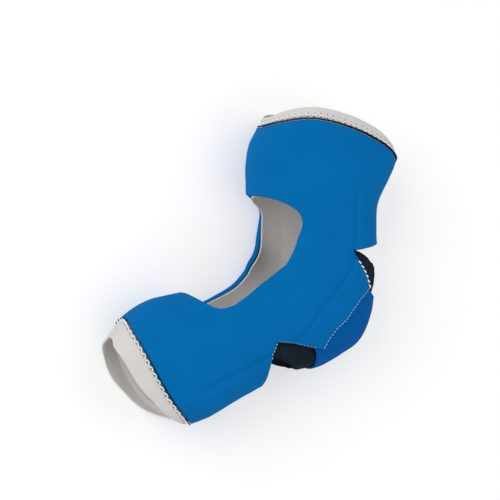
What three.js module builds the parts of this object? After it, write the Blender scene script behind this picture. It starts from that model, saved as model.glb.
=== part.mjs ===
// Elbow brace in millimetres, lying on the side that faces the body.
// X runs from the front of the arm to its back, Y up the upper arm, Z out of the side that faces up.
// Two padded cuffs are joined by side panels. The bend of the elbow is open in front, and a cup closes it behind.
import * as THREE from 'three';

// Driving sizes of the sleeve
const ARM_LENGTH = 200;        // from the elbow to about the end of each cuff
const CUFF_REACH = 66;         // from the middle of the arm to the front or back of a cuff
const HALF_WIDTH = 58;         // from the middle of the arm to the side of a cuff
const BEND_RADIUS = 74;        // of the middle line around the elbow
const BEND_TURN = THREE.MathUtils.degToRad(62);
const REST_DEPTH = 56.5;       // from the middle plane to the surface that the brace lies on
const FRONT_ROUNDNESS = 2.15;  // 2 is an ellipse, more is squarer

// Layers, measured inward from the outside of the cover
const COVER_WALL = 5;
const CUP_WALL = 3;
const LAYER_GAP = 0.95;
const LINING_WALL = 1.8;
const COLLAR_WALL = 2.5;
const GUSSET_DEPTH = 6.0;         // under the side panels
const GUSSET_RISE = 2.0;          // less of it where the gusset is open to view
const GUSSET_WALL = 2;
const BINDING_PROUD = 0.4;
const BINDING_WALL = 2;
const BINDING_LENGTH = { upper: 1.6, forearm: 0.9 };
const SEAM_GAP = 0.4;

// Collars, past the ends of the cover
const COLLAR_TUCK = 12;
const COLLAR_ROWS = [0, 0.15, 0.35, 0.65, 1];   // as shares of the reach
const COLLAR_FLARE = { rise: 4.6, start: 0.8, end: 5.5 };   // back out to the surface, past the binding
const UPPER_COLLAR = { length: 14, frontTaper: 2.5, sideTaper: 3 };
const FOREARM_COLLAR = { length: 25, frontTaper: 3, sideTaper: 7 };

// The raised channels beside the back edges
const CHANNEL_RISE = 0.8;
const CHANNEL_WIDTH = { flat: 0.22, whole: 0.3 };

// Grid of the sleeve: rows along the arm, columns around one half of it
const ROWS = { forearm: 6, elbow: 16, upper: 6 };
const COLUMNS = { front: 5, side: 8, back: 6 };
const RIM_SPLIT = { front: 0.28, back: 0.62 };

// Sections: along is a share of ARM_LENGTH, front and back of CUFF_REACH, side of HALF_WIDTH
const SECTIONS = [
  { along: -1.08, front: 0.98, back: 0.76, side: 0.93, roundness: 3.0 },
  { along: -0.95, front: 1.07, back: 0.82, side: 0.975, roundness: 3.0 },
  { along: -0.8, front: 1.1, back: 0.85, side: 1.0, roundness: 3.0 },
  { along: -0.62, front: 0.955, back: 0.865, side: 1.0, roundness: 3.0 },
  { along: -0.4, front: 0.91, back: 0.94, side: 1.0, roundness: 2.6 },
  { along: -0.2, front: 0.91, back: 1.13, side: 0.985, roundness: 2.4 },
  { along: -0.12, front: 0.91, back: 1.215, side: 0.985, roundness: 2.3 },
  { along: -0.055, front: 0.91, back: 1.31, side: 0.985, roundness: 2.2 },
  { along: 0.03, front: 0.91, back: 1.22, side: 0.985, roundness: 2.2 },
  { along: 0.1, front: 0.92, back: 1.12, side: 0.985, roundness: 2.4 },
  { along: 0.2, front: 0.955, back: 1.0, side: 0.985, roundness: 2.6 },
  { along: 0.3, front: 1.0, back: 0.97, side: 0.99, roundness: 2.7 },
  { along: 0.425, front: 1.045, back: 1.0, side: 1.0, roundness: 2.8 },
  { along: 0.51, front: 1.05, back: 1.17, side: 1.005, roundness: 2.7 },
  { along: 0.62, front: 1.05, back: 1.365, side: 1.01, roundness: 2.6 },
  { along: 0.72, front: 0.995, back: 1.46, side: 1.0, roundness: 2.5 },
  { along: 0.8, front: 0.86, back: 1.53, side: 0.985, roundness: 2.4 },
  { along: 0.95, front: 0.75, back: 1.59, side: 0.93, roundness: 2.4 },
];

// Ends of the cuffs: around is a share of the half girth, from the front line to the back line
const UPPER_RIM = [
  { around: 0, along: 0.805 },
  { around: 0.05, along: 0.807 },
  { around: 0.13, along: 0.815 },
  { around: 0.3, along: 0.828 },
  { around: 0.49, along: 0.79 },
  { around: 0.7, along: 0.714 },
  { around: 0.85, along: 0.648 },
  { around: 0.95, along: 0.618 },
  { around: 1, along: 0.615 },
];
const FOREARM_RIM = [
  { around: 0, along: -0.953 },
  { around: 0.04, along: -0.955 },
  { around: 0.14, along: -0.974 },
  { around: 0.3, along: -0.99 },
  { around: 0.45, along: -0.997 },
  { around: 0.6, along: -0.99 },
  { around: 0.72, along: -0.966 },
  { around: 0.86, along: -0.93 },
  { around: 0.95, along: -0.912 },
  { around: 1, along: -0.91 },
];

// Edges of the opening over the bend, from the upper cuff to the forearm cuff: on the half that faces up,
// and on the half that faces down, where the side panel reaches further forward
const WINDOW = [
  { along: 0.445, around: 0 },
  { along: 0.44, around: 0.09 },
  { along: 0.415, around: 0.205 },
  { along: 0.365, around: 0.302 },
  { along: 0.295, around: 0.325 },
  { along: 0.2, around: 0.284 },
  { along: 0.05, around: 0.247 },
  { along: -0.12, around: 0.236 },
  { along: -0.27, around: 0.257 },
  { along: -0.4, around: 0.288 },
  { along: -0.5, around: 0.297 },
  { along: -0.57, around: 0.26 },
  { along: -0.61, around: 0.14 },
  { along: -0.62, around: 0 },
];
const LOWER_WINDOW = [
  { along: 0.445, around: 0 },
  { along: 0.455, around: 0.09 },
  { along: 0.44, around: 0.205 },
  { along: 0.38, around: 0.292 },
  { along: 0.3, around: 0.272 },
  { along: 0.2, around: 0.222 },
  { along: 0.05, around: 0.17 },
  { along: -0.12, around: 0.185 },
  { along: -0.27, around: 0.285 },
  { along: -0.4, around: 0.305 },
  { along: -0.5, around: 0.3 },
  { along: -0.57, around: 0.26 },
  { along: -0.61, around: 0.14 },
  { along: -0.62, around: 0 },
];
const WINDOW_CORNERS = { upper: 2.6, forearm: 10 };

// Back edges of the cover: under the upper cuff, down the side panel, above the forearm cuff
const COVER_BACK = {
  upper: [
    { along: 0.173, around: 0.604 },
    { along: 0.185, around: 0.69 },
    { along: 0.196, around: 0.8 },
    { along: 0.205, around: 1 },
  ],
  side: [
    { along: 0.173, around: 0.604 },
    { along: 0.125, around: 0.64 },
    { along: 0.066, around: 0.746 },
    { along: -0.03, around: 0.671 },
    { along: -0.1, around: 0.672 },
    { along: -0.172, around: 0.735 },
    { along: -0.2, around: 0.704 },
    { along: -0.29, around: 0.64 },
    { along: -0.38, around: 0.586 },
  ],
  forearm: [
    { along: -0.38, around: 0.586 },
    { along: -0.443, around: 0.658 },
    { along: -0.492, around: 0.86 },
    { along: -0.505, around: 1 },
  ],
};

// The same edges of the lining, which stops short of the gusset
const LINING_BACK = {
  upper: [
    { along: 0.22, around: 0.545 },
    { along: 0.218, around: 0.69 },
    { along: 0.216, around: 0.8 },
    { along: 0.216, around: 1 },
  ],
  side: [
    { along: 0.22, around: 0.545 },
    { along: 0.17, around: 0.545 },
    { along: 0.065, around: 0.683 },
    { along: -0.015, around: 0.62 },
    { along: -0.105, around: 0.62 },
    { along: -0.17, around: 0.675 },
    { along: -0.27, around: 0.6 },
    { along: -0.38, around: 0.53 },
    { along: -0.48, around: 0.575 },
  ],
  forearm: [
    { along: -0.48, around: 0.575 },
    { along: -0.503, around: 0.66 },
    { along: -0.512, around: 0.87 },
    { along: -0.52, around: 1 },
  ],
};

// Gusset: its front edge lies under the side panel, its low and high edges cross the notches
const GUSSET_EDGES = {
  front: [
    { along: -0.46, around: 0.6 },
    { along: -0.38, around: 0.548 },
    { along: -0.27, around: 0.618 },
    { along: -0.17, around: 0.695 },
    { along: -0.105, around: 0.64 },
    { along: -0.015, around: 0.64 },
    { along: 0.065, around: 0.7 },
    { along: 0.17, around: 0.565 },
    { along: 0.195, around: 0.56 },
  ],
  low: [
    { along: -0.46, around: 0.6 },
    { along: -0.435, around: 0.655 },
    { along: -0.395, around: 0.715 },
    { along: -0.355, around: 0.755 },
    { along: -0.305, around: 0.91 },
    { along: -0.29, around: 1 },
  ],
  high: [
    { along: 0.195, around: 0.56 },
    { along: 0.175, around: 0.645 },
    { along: 0.165, around: 0.69 },
    { along: 0.145, around: 0.78 },
    { along: 0.14, around: 0.9 },
    { along: 0.14, around: 1 },
  ],
};

// Cup: its front edge meets the seam of the side panel
const CUP_EDGES = {
  front: [
    { along: -0.2, around: 0.706 },
    { along: -0.172, around: 0.737 },
    { along: -0.1, around: 0.672 },
    { along: -0.03, around: 0.671 },
    { along: 0.06, around: 0.742 },
  ],
  low: [
    { along: -0.2, around: 0.706 },
    { along: -0.198, around: 0.756 },
    { along: -0.204, around: 0.85 },
    { along: -0.21, around: 1 },
  ],
  high: [
    { along: 0.06, around: 0.742 },
    { along: 0.057, around: 0.82 },
    { along: 0.054, around: 0.9 },
    { along: 0.05, around: 1 },
  ],
};

const UPPER_COLLAR_REACH = [
  { around: 0, share: 0.76 },
  { around: 0.04, share: 0.77 },
  { around: 0.12, share: 0.9 },
  { around: 0.3, share: 0.97 },
  { around: 0.45, share: 1.03 },
  { around: 0.6, share: 1.0 },
  { around: 0.75, share: 0.8 },
  { around: 0.88, share: 0.43 },
  { around: 0.96, share: 0.34 },
  { around: 1, share: 0.34 },
];
// Front fold of the raised channels
const CHANNEL_FOLD = [
  { along: -0.81, around: 0.65 },
  { along: -0.63, around: 0.646 },
  { along: -0.436, around: 0.648 },
  { along: -0.228, around: 0.614 },
  { along: -0.15, around: 0.564 },
  { along: -0.074, around: 0.538 },
  { along: 0.014, around: 0.554 },
  { along: 0.088, around: 0.596 },
  { along: 0.195, around: 0.625 },
  { along: 0.425, around: 0.635 },
];

const FOREARM_COLLAR_REACH = [
  { around: 0, share: 0.92 },
  { around: 0.12, share: 0.92 },
  { around: 0.25, share: 0.86 },
  { around: 0.45, share: 0.79 },
  { around: 0.55, share: 0.66 },
  { around: 0.7, share: 0.52 },
  { around: 0.85, share: 0.25 },
  { around: 0.95, share: 0.2 },
  { around: 1, share: 0.2 },
];

// Smooth curve through the rows of a table
function through(rows, at, xName, yName) {
  const x = rows.map((row) => row[xName]);
  const y = rows.map((row) => row[yName]);
  const last = x.length - 1;
  const clamped = Math.min(Math.max(at, x[0]), x[last]);
  let i = 0;
  while (i < last - 1 && clamped > x[i + 1]) i += 1;
  const slope = (k) => {
    if (k === 0) return (y[1] - y[0]) / (x[1] - x[0]);
    if (k === last) return (y[last] - y[last - 1]) / (x[last] - x[last - 1]);
    const before = x[k] - x[k - 1];
    const after = x[k + 1] - x[k];
    const rise = before * (y[k + 1] - y[k]) / after + after * (y[k] - y[k - 1]) / before;
    return rise / (before + after);
  };
  const span = x[i + 1] - x[i];
  const u = (clamped - x[i]) / span;
  const start = (1 + 2 * u) * (1 - u) ** 2 * y[i] + u * (1 - u) ** 2 * span * slope(i);
  const end = u * u * (3 - 2 * u) * y[i + 1] + u * u * (u - 1) * span * slope(i + 1);
  return start + end;
}

const indexed = (rows) => rows.map((row, index) => ({ ...row, index }));

// Point of an edge table at a share of its rows, on a smooth curve or on straight lines
function onCurve(rows, position) {
  const table = indexed(rows);
  return {
    along: through(table, position, 'index', 'along'),
    around: through(table, position, 'index', 'around'),
  };
}

function mix(a, b, share) {
  return {
    along: a.along + (b.along - a.along) * share,
    around: a.around + (b.around - a.around) * share,
  };
}

function onLines(rows, share) {
  const position = share * (rows.length - 1);
  const i = Math.min(Math.floor(position), rows.length - 2);
  return mix(rows[i], rows[i + 1], position - i);
}

// Middle line of the arm: a point on it and the direction towards the back
function middleLine(distance) {
  const half = BEND_TURN / 2;
  const arc = BEND_RADIUS * half;
  const centre = new THREE.Vector2(-BEND_RADIUS, BEND_RADIUS * Math.tan(half));
  const onArc = Math.min(Math.max(distance, -arc), arc);
  const angle = -half + onArc / BEND_RADIUS;
  const back = new THREE.Vector2(Math.cos(angle), Math.sin(angle));
  const forward = new THREE.Vector2(-back.y, back.x);
  const point = centre.clone().addScaledVector(back, BEND_RADIUS);
  point.addScaledVector(forward, distance - onArc);
  return { point, back };
}

// Half of a section from the front line to the back line, with its girth as shares
const SECTION_STEPS = 192;
const sectionCache = new Map();
function halfSection(along) {
  const key = Math.round(along * 1e6);
  if (sectionCache.has(key)) return sectionCache.get(key);
  const value = (name) => through(SECTIONS, along, 'along', name);
  const front = value('front') * CUFF_REACH;
  const back = value('back') * CUFF_REACH;
  const side = value('side') * HALF_WIDTH;
  const roundness = value('roundness');
  const points = [];
  for (let i = 0; i <= SECTION_STEPS; i += 1) {
    const turn = Math.PI * i / SECTION_STEPS;
    const isFront = turn <= Math.PI / 2;
    const power = 2 / (isFront ? FRONT_ROUNDNESS : roundness);
    const depth = Math.abs(Math.cos(turn)) ** power * (isFront ? -front : back);
    const width = Math.max(0, Math.sin(turn)) ** power * side;
    const previous = points[i - 1];
    const girth = previous ? previous.girth + Math.hypot(depth - previous.depth, width - previous.width) : 0;
    points.push({ depth, width, girth });
  }
  const whole = points[SECTION_STEPS].girth;
  points.forEach((point) => { point.girth /= whole; });
  const line = middleLine(along * ARM_LENGTH);
  const section = { points, line, whole };
  sectionCache.set(key, section);
  return section;
}

// Point of the outside of the cover. A negative around is the half that faces down.
function surface(along, around) {
  const wrapped = around > 1 ? around - 2 : around < -1 ? around + 2 : around;
  const { points, line } = halfSection(along);
  const share = Math.abs(wrapped);
  let low = 0;
  let high = points.length - 1;
  while (high - low > 1) {
    const middle = (low + high) >> 1;
    if (points[middle].girth <= share) low = middle;
    else high = middle;
  }
  const span = points[high].girth - points[low].girth;
  const u = span > 0 ? (share - points[low].girth) / span : 0;
  const depth = points[low].depth + (points[high].depth - points[low].depth) * u;
  const width = points[low].width + (points[high].width - points[low].width) * u;
  return new THREE.Vector3(
    line.point.x + line.back.x * depth,
    line.point.y + line.back.y * depth,
    wrapped < 0 ? -width : width,
  );
}

function inward(along, around) {
  const step = 0.004;
  const alongSide = surface(along + step, around).sub(surface(along - step, around));
  const aroundSide = surface(along, around + step).sub(surface(along, around - step));
  return alongSide.cross(aroundSide).normalize();
}

// Where the side panel's back edge lies at a place along the arm
function channelEdge(along) {
  const all = [...COVER_BACK.side].reverse();
  if (along <= all[0].along || along >= all[all.length - 1].along) return 0.68;
  const i = all.findIndex((row) => row.along > along) - 1;
  const share = (along - all[i].along) / (all[i + 1].along - all[i].along);
  return all[i].around + (all[i + 1].around - all[i].around) * share;
}

function channelRise(along, around) {
  const behind = Math.abs(around) - through(CHANNEL_FOLD, along, 'along', 'around');
  const fold = THREE.MathUtils.smoothstep(behind, -0.015, 0.015);
  return CHANNEL_RISE * fold * (1 - THREE.MathUtils.smoothstep(behind, CHANNEL_WIDTH.flat, CHANNEL_WIDTH.whole));
}

// The gusset dips under the side panels and rises behind them
function gussetDepth({ along, around }) {
  const past = Math.abs(around) - channelEdge(along);
  return GUSSET_DEPTH - GUSSET_RISE * THREE.MathUtils.smoothstep(past, 0.03, 0.09);
}

// Point at a depth under the outside. The half that faces down is pressed flat where it rests.
function atDepth(along, around, depth) {
  const point = surface(along, around).addScaledVector(inward(along, around), depth);
  point.z = Math.max(point.z, -REST_DEPTH + Math.max(depth, 0));
  return point;
}

// Closed wall between two depths over a grid of cells
function wall(name, cells, outerAt, innerAt, material) {
  const positions = [];
  const numbers = [new Map(), new Map()];
  const corner = (place, layer) => {
    const around = Math.abs(place.around) > 0.9999 ? 1 : place.around;
    const key = `${Math.round(place.along * 1e5)},${Math.round(around * 1e5)}`;
    if (!numbers[layer].has(key)) {
      numbers[layer].set(key, positions.length / 3);
      const depth = layer === 0 ? outerAt(place) : innerAt(place);
      positions.push(...atDepth(place.along, around, depth).toArray());
    }
    return numbers[layer].get(key);
  };
  const triangles = [];
  const edges = new Map();
  cells.forEach((cell) => {
    const outer = cell.map((place) => corner(place, 0));
    const inner = cell.map((place) => corner(place, 1));
    triangles.push(outer[0], outer[1], outer[2], outer[0], outer[2], outer[3]);
    triangles.push(inner[2], inner[1], inner[0], inner[3], inner[2], inner[0]);
    outer.forEach((from, i) => {
      const next = (i + 1) % outer.length;
      const to = outer[next];
      if (edges.has(`${to},${from}`)) edges.delete(`${to},${from}`);
      else edges.set(`${from},${to}`, [from, to, inner[i], inner[next]]);
    });
  });
  edges.forEach(([from, to, innerFrom, innerTo]) => {
    triangles.push(from, innerFrom, to, to, innerFrom, innerTo);
  });
  const geometry = new THREE.BufferGeometry();
  geometry.setAttribute('position', new THREE.Float32BufferAttribute(positions, 3));
  geometry.setIndex(triangles);
  geometry.computeVertexNormals();
  const mesh = new THREE.Mesh(geometry, material);
  mesh.name = name;
  return mesh;
}

// Cells of the half that faces up and of the half that faces down, which is its mirror image unless given
function cellsOf(grid, down = grid) {
  const cells = [];
  const add = (rows, side) => rows.forEach((row, i) => {
    if (i === 0) return;
    row.forEach((place, j) => {
      if (j === 0) return;
      const cell = [rows[i - 1][j - 1], rows[i - 1][j], rows[i][j], rows[i][j - 1]];
      if (cell.some((corner) => !corner)) return;
      const turned = cell.map((corner) => ({ ...corner, around: corner.around * side }));
      cells.push(side > 0 ? turned : turned.reverse());
    });
  });
  add(grid, 1);
  add(down, -1);
  return cells;
}

// Places around one half of a cuff's end, in the columns of the sleeve
function rimShare(column) {
  const { front, side, back } = COLUMNS;
  if (column <= front) return RIM_SPLIT.front * column / front;
  if (column <= front + side) {
    return RIM_SPLIT.front + (RIM_SPLIT.back - RIM_SPLIT.front) * (column - front) / side;
  }
  return RIM_SPLIT.back + (1 - RIM_SPLIT.back) * (column - front - side) / back;
}

const columnCount = COLUMNS.front + COLUMNS.side + COLUMNS.back;

// Edge row of a cuff towards the elbow: under the window, along the side panel, around the back
function cuffEdge(window, backRows, windowFrom, windowTo) {
  const row = [];
  for (let j = 0; j <= columnCount; j += 1) {
    const { front, side, back } = COLUMNS;
    const windowCorner = onCurve(window, windowTo);
    if (j < front) row.push(onCurve(window, windowFrom + (windowTo - windowFrom) * j / front));
    else if (j <= front + side) row.push(mix(windowCorner, backRows[0], (j - front) / side));
    else row.push(onLines(backRows, (j - front - side) / back));
  }
  return row;
}

function cuffRows(edge, rim, rowCount, inset) {
  const rows = [];
  for (let i = 0; i <= rowCount; i += 1) {
    rows.push(edge.map((start, j) => {
      const around = rimShare(j);
      const along = through(rim, around, 'around', 'along') - inset / ARM_LENGTH;
      return mix(start, { along, around }, i / rowCount);
    }));
  }
  return rows;
}

// One half of the sleeve: the forearm cuff, the side panel and the upper cuff
function halfSleeve(window, back, inset) {
  const { upper: windowTop, forearm: windowLow } = WINDOW_CORNERS;
  const upperEdge = cuffEdge(window, back.upper, 0, windowTop);
  const forearmEdge = cuffEdge(window, back.forearm, window.length - 1, windowLow);
  const forearm = cuffRows(forearmEdge, FOREARM_RIM, ROWS.forearm, -inset).reverse();
  const upper = cuffRows(upperEdge, UPPER_RIM, ROWS.upper, inset);
  const sidePanel = [];
  for (let i = 1; i < ROWS.elbow; i += 1) {
    const share = i / ROWS.elbow;
    const start = onCurve(window, windowLow + (windowTop - windowLow) * share);
    const end = onLines(back.side, 1 - share);
    const row = new Array(columnCount + 1).fill(null);
    for (let j = 0; j <= COLUMNS.side; j += 1) row[COLUMNS.front + j] = mix(start, end, j / COLUMNS.side);
    sidePanel.push(row);
  }
  // A cell of the elbow needs both of its rows open at the front and back
  const open = (row) => row.map((place, j) => (
    j >= COLUMNS.front && j <= COLUMNS.front + COLUMNS.side ? place : null));
  return [forearm, [open(forearm[forearm.length - 1]), ...sidePanel, open(upper[0])], upper];
}

function sleeve(back, inset) {
  const down = halfSleeve(LOWER_WINDOW, back, inset);
  return halfSleeve(WINDOW, back, inset).flatMap((grid, k) => cellsOf(grid, down[k]));
}

// Patch between a front edge, a low edge, a high edge and the back line
function patch(edges, rowCount, columns) {
  const grid = [];
  const corners = {
    lowFront: onLines(edges.low, 0),
    lowBack: onLines(edges.low, 1),
    highFront: onLines(edges.high, 0),
    highBack: onLines(edges.high, 1),
  };
  for (let i = 0; i <= rowCount; i += 1) {
    const v = i / rowCount;
    const front = onLines(edges.front, v);
    const back = mix(corners.lowBack, corners.highBack, v);
    const row = [];
    for (let j = 0; j <= columns; j += 1) {
      const u = j / columns;
      const across = mix(front, back, u);
      const up = mix(onLines(edges.low, u), onLines(edges.high, u), v);
      const flat = mix(mix(corners.lowFront, corners.lowBack, u), mix(corners.highFront, corners.highBack, u), v);
      row.push({
        along: across.along + up.along - flat.along,
        around: across.around + up.around - flat.around,
      });
    }
    grid.push(row);
  }
  return cellsOf(grid);
}

// Band of rows past the end of a cuff. Positive steps run up the upper arm, negative ones down the forearm.
function band(rim, distances) {
  const grid = distances.map((distanceAt) => {
    const row = [];
    for (let j = 0; j <= columnCount; j += 1) {
      const around = rimShare(j);
      const along = through(rim, around, 'around', 'along') + distanceAt(around) / ARM_LENGTH;
      row.push({ along, around });
    }
    return row;
  });
  return cellsOf(grid);
}

function collar(name, rim, direction, size, reachRows, material) {
  const reach = (around) => through(reachRows, around, 'around', 'share') * size.length;
  const distances = [
    (around) => -COLLAR_TUCK * direction + 0 * around,
    ...COLLAR_ROWS.map((share) => (around) => reach(around) * direction * share),
  ];
  const ordered = direction > 0 ? distances : distances.reverse();
  const beyond = ({ along, around }) => {
    const past = (along - through(rim, Math.abs(around), 'around', 'along')) * ARM_LENGTH * direction;
    const taper = size.frontTaper + (size.sideTaper - size.frontTaper) * Math.sin(Math.PI * Math.abs(around));
    const flare = COLLAR_FLARE.rise * THREE.MathUtils.smoothstep(past, COLLAR_FLARE.start, COLLAR_FLARE.end);
    return Math.max(0, past) / size.length * taper - flare;
  };
  const outer = (place) => COVER_WALL + LAYER_GAP + beyond(place);
  const inner = (place) => outer(place) + COLLAR_WALL;
  return wall(name, band(rim, ordered), outer, inner, material);
}

function binding(name, rim, direction, length, material) {
  const near = SEAM_GAP * direction;
  const far = (SEAM_GAP + length) * direction;
  const distances = direction > 0 ? [() => near, () => far] : [() => far, () => near];
  return wall(name, band(rim, distances), () => -BINDING_PROUD, () => BINDING_WALL - BINDING_PROUD, material);
}

const cloth = (color) => new THREE.MeshStandardMaterial({ color, roughness: 0.9, metalness: 0, flatShading: true });
const MATERIALS = {
  cover: cloth(0x046bad),
  lining: cloth(0xc2c2be),
  gusset: cloth(0x24292e),
  cup: cloth(0x0a55a5),
  binding: cloth(0x141a24),
};

function build() {
  const brace = new THREE.Group();
  brace.name = 'elbow_brace';
  brace.add(wall('cover', sleeve(COVER_BACK, 0),
    ({ along, around }) => -channelRise(along, around), () => COVER_WALL, MATERIALS.cover));
  const liningDepth = COVER_WALL + LAYER_GAP;
  brace.add(wall('lining', sleeve(LINING_BACK, COLLAR_TUCK + SEAM_GAP),
    () => liningDepth, () => liningDepth + LINING_WALL, MATERIALS.lining));
  brace.add(collar('upper_collar', UPPER_RIM, 1, UPPER_COLLAR, UPPER_COLLAR_REACH, MATERIALS.lining));
  brace.add(collar('forearm_collar', FOREARM_RIM, -1, FOREARM_COLLAR, FOREARM_COLLAR_REACH, MATERIALS.lining));
  brace.add(binding('upper_binding', UPPER_RIM, 1, BINDING_LENGTH.upper, MATERIALS.binding));
  brace.add(binding('forearm_binding', FOREARM_RIM, -1, BINDING_LENGTH.forearm, MATERIALS.binding));
  brace.add(wall('elbow_gusset', patch(GUSSET_EDGES, 16, 8),
    gussetDepth, (place) => gussetDepth(place) + GUSSET_WALL, MATERIALS.gusset));
  const cupGap = SEAM_GAP / halfSection(0).whole;
  const cupFront = CUP_EDGES.front.map((row) => ({ ...row, around: row.around + cupGap * 1.5 }));
  const cupLow = [{ ...cupFront[0] }, ...CUP_EDGES.low.slice(1)];
  const cupHigh = [{ ...cupFront[cupFront.length - 1] }, ...CUP_EDGES.high.slice(1)];
  brace.add(wall('elbow_cup', patch({ front: cupFront, low: cupLow, high: cupHigh }, 8, 6),
    () => 0, () => CUP_WALL, MATERIALS.cup));
  return brace;
}

// Stand the brace on its lower side with its middle over the origin
function settle(brace) {
  const box = new THREE.Box3().setFromObject(brace);
  const middle = box.getCenter(new THREE.Vector3());
  brace.children.forEach((mesh) => {
    mesh.geometry.translate(-middle.x, -middle.y, -box.min.z);
  });
  return brace;
}

export default settle(build());
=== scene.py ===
# Elbow brace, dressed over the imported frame.
# Sizes are millimetres around the middle of the elbow until a piece is placed in the frame, in metres.
import math

import bpy
import numpy as np
from mathutils import Matrix, Vector, kdtree, noise


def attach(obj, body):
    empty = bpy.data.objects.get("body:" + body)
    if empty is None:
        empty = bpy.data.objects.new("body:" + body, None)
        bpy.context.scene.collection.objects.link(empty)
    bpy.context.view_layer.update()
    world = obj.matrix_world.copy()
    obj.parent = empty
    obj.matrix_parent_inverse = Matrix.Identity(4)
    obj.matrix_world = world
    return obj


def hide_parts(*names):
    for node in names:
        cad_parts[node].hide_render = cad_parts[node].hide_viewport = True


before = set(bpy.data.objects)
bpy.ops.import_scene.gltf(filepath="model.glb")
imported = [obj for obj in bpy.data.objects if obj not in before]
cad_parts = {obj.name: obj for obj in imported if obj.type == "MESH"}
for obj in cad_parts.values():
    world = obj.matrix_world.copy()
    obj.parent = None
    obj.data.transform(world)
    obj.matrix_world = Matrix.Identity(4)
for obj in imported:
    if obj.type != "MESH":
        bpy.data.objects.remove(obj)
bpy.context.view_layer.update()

MM = 0.001
ELBOW = np.array((65.343, -23.058, 56.5))   # middle of the elbow in the frame

# Driving sizes of the sleeve
ARM_LENGTH = 200.0
CUFF_REACH = 66.0
HALF_WIDTH = 58.0
BEND_RADIUS = 74.0
BEND_TURN = math.radians(62)
REST_DEPTH = 56.5
FRONT_ROUNDNESS = 2.15

# Layers, measured inward from the outside of the cover
COVER_WALL = 5.0
CUP_WALL = 3.0
LAYER_GAP = 0.95
LINING_WALL = 1.8
COLLAR_WALL = 2.5
GUSSET_DEPTH = 6.0
GUSSET_RISE = 2.0
GUSSET_WALL = 2.0
BINDING_PROUD = 0.4
BINDING_WALL = 2.0
BINDING_LENGTH = {"upper": 1.6, "forearm": 0.9}
SEAM_GAP = 0.4
LINING_DEPTH = COVER_WALL + LAYER_GAP

# Collars, past the ends of the cover
COLLAR_TUCK = 12.0
COLLAR_FLARE = {"rise": 4.6, "start": 0.8, "end": 5.5}    # back out to the surface, past the binding
UPPER_COLLAR = {"length": 14.0, "front_taper": 2.5, "side_taper": 3.0}
FOREARM_COLLAR = {"length": 25.0, "front_taper": 3.0, "side_taper": 7.0}

# Form of the sleeve: along as a share of ARM_LENGTH, front and back of CUFF_REACH, side of HALF_WIDTH
# Rows: along, front, back, side, roundness
SECTIONS = (
    (-1.08, 0.98, 0.76, 0.93, 3.0),
    (-0.95, 1.07, 0.82, 0.975, 3.0),
    (-0.8, 1.1, 0.85, 1.0, 3.0),
    (-0.62, 0.955, 0.865, 1.0, 3.0),
    (-0.4, 0.91, 0.94, 1.0, 2.6),
    (-0.2, 0.91, 1.13, 0.985, 2.4),
    (-0.12, 0.91, 1.215, 0.985, 2.3),
    (-0.055, 0.91, 1.31, 0.985, 2.2),
    (0.03, 0.91, 1.22, 0.985, 2.2),
    (0.1, 0.92, 1.12, 0.985, 2.4),
    (0.2, 0.955, 1.0, 0.985, 2.6),
    (0.3, 1.0, 0.97, 0.99, 2.7),
    (0.425, 1.045, 1.0, 1.0, 2.8),
    (0.51, 1.05, 1.17, 1.005, 2.7),
    (0.62, 1.05, 1.365, 1.01, 2.6),
    (0.72, 0.995, 1.46, 1.0, 2.5),
    (0.8, 0.86, 1.53, 0.985, 2.4),
    (0.95, 0.75, 1.59, 0.93, 2.4),
)

# Ends of the cuffs: around as a share of the half girth, from the front line to the back line,
# and along
UPPER_RIM = (
    (0, 0.805), (0.05, 0.807), (0.13, 0.815), (0.3, 0.828), (0.49, 0.79), (0.7, 0.714),
    (0.85, 0.648), (0.95, 0.618), (1, 0.615),
)
FOREARM_RIM = (
    (0, -0.953), (0.04, -0.955), (0.14, -0.974), (0.3, -0.99), (0.45, -0.997), (0.6, -0.99),
    (0.72, -0.966), (0.86, -0.93), (0.95, -0.912), (1, -0.91),
)

# How far the collars reach: around, and a share of their length
UPPER_COLLAR_REACH = (
    (0, 0.76), (0.04, 0.77), (0.12, 0.9), (0.3, 0.97), (0.45, 1.03), (0.6, 1.0), (0.75, 0.8),
    (0.88, 0.43), (0.96, 0.34), (1, 0.34),
)
FOREARM_COLLAR_REACH = (
    (0, 0.92), (0.12, 0.92), (0.25, 0.86), (0.45, 0.79), (0.55, 0.66), (0.7, 0.52), (0.85, 0.25),
    (0.95, 0.2), (1, 0.2),
)
CUFFS = {
    "upper": {
        "rim": UPPER_RIM, "direction": 1, "collar": UPPER_COLLAR, "reach": UPPER_COLLAR_REACH,
        "stitches": 31,      # over each half of the rim
    },
    "forearm": {
        "rim": FOREARM_RIM, "direction": -1, "collar": FOREARM_COLLAR, "reach": FOREARM_COLLAR_REACH,
        "stitches": 25,
    },
}

# Edges as rows of along and around. The opening over the bend runs from the upper cuff to the
# forearm cuff, on the half that faces up and on the half that faces down.
WINDOW = (
    (0.445, 0), (0.44, 0.09), (0.415, 0.205), (0.365, 0.302), (0.295, 0.325), (0.2, 0.284),
    (0.05, 0.247), (-0.12, 0.236), (-0.27, 0.257), (-0.4, 0.288), (-0.5, 0.297), (-0.57, 0.26),
    (-0.61, 0.14), (-0.62, 0),
)
LOWER_WINDOW = (
    (0.445, 0), (0.455, 0.09), (0.44, 0.205), (0.38, 0.292), (0.3, 0.272), (0.2, 0.222),
    (0.05, 0.17), (-0.12, 0.185), (-0.27, 0.285), (-0.4, 0.305), (-0.5, 0.3), (-0.57, 0.26),
    (-0.61, 0.14), (-0.62, 0),
)
WINDOW_CORNERS = {"upper": 2.6, "forearm": 10}      # at these rows the side panel starts and ends
WINDOW_MIDDLE = (-0.09, 0)
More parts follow.
